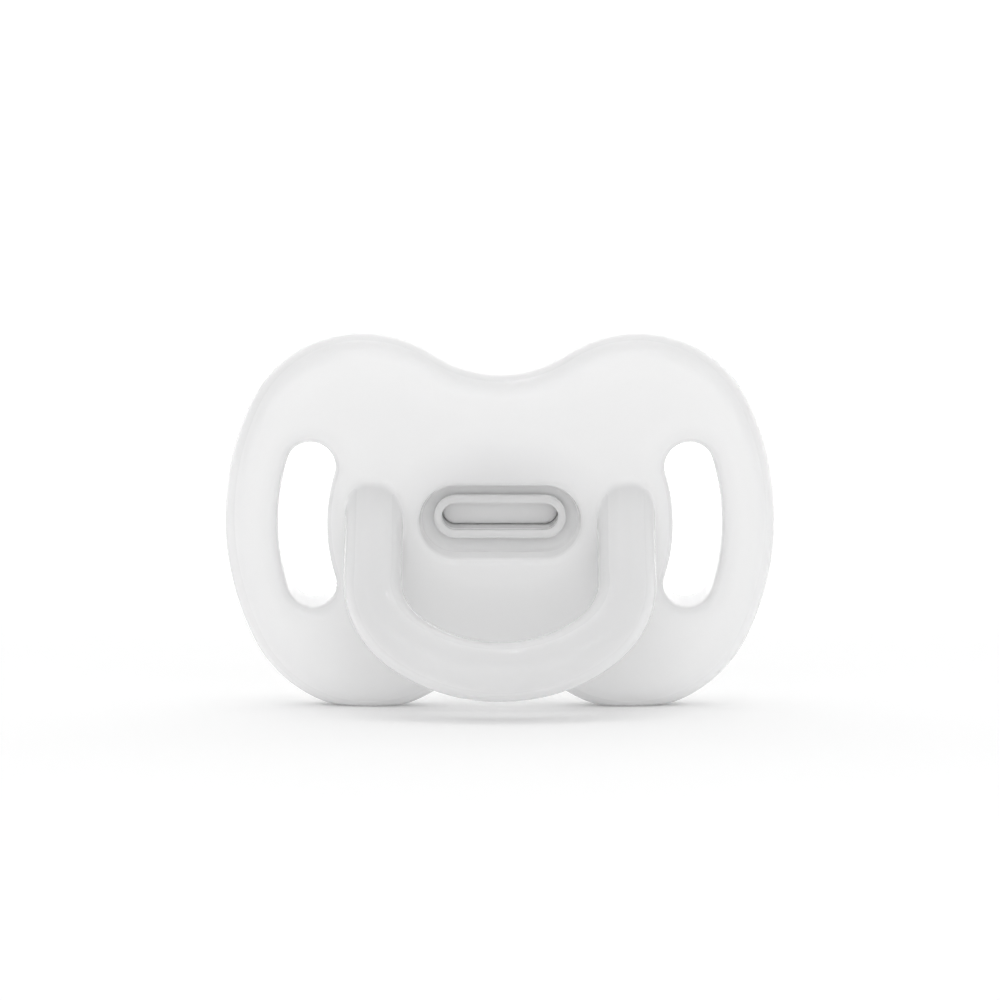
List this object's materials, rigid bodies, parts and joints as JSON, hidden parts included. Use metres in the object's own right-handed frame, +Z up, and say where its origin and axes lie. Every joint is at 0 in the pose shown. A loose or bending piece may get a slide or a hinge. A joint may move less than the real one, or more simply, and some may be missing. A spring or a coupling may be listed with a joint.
{
  "type": "pacifier",
  "caption": "Soft silicone pacifier with a thick butterfly shield, curved air vents, a U-shaped loop handle and a hollow flat-necked teat.",
  "frame": {"origin": "on the surface it stands on, under the middle of its length and width", "axes": "+Z up as it stands on the two lower lobes; -Y towards the handle in front; +Y towards the teat; +X across the shield, from its left wing to its right wing as seen from the front"},
  "size_m": [0.0552, 0.0441, 0.0378],
  "materials": {
    "shield_silicone": "satin, milky translucent silicone",
    "teat_silicone": "softer and slightly clearer silicone",
    "plug_silicone": "satin, milky translucent silicone"
  },
  "bodies": {
    "shield": {"shield": "shield_silicone", "handle_root_left": "shield_silicone", "handle_root_right": "shield_silicone", "teat_collar": "teat_silicone", "teat_plug": "plug_silicone"},
    "handle": {"handle_grip": "shield_silicone"},
    "teat": {"teat_neck": "teat_silicone", "teat_bulb": "teat_silicone"}
  },
  "joints": [
    {"name": "handle_flex", "type": "hinge", "parent": "shield", "child": "handle", "pos_m": [0, -0.01196, 0.01514], "axis": [-1, 0, 0], "range_deg": [-30, 60], "stiffness_Nm_per_rad": 0.05},
    {"name": "teat_flex", "type": "hinge", "parent": "shield", "child": "teat", "pos_m": [0, 0.0019, 0.02063], "axis": [1, 0, 0], "range_deg": [-20, 20], "stiffness_Nm_per_rad": 0.04}
  ]
}
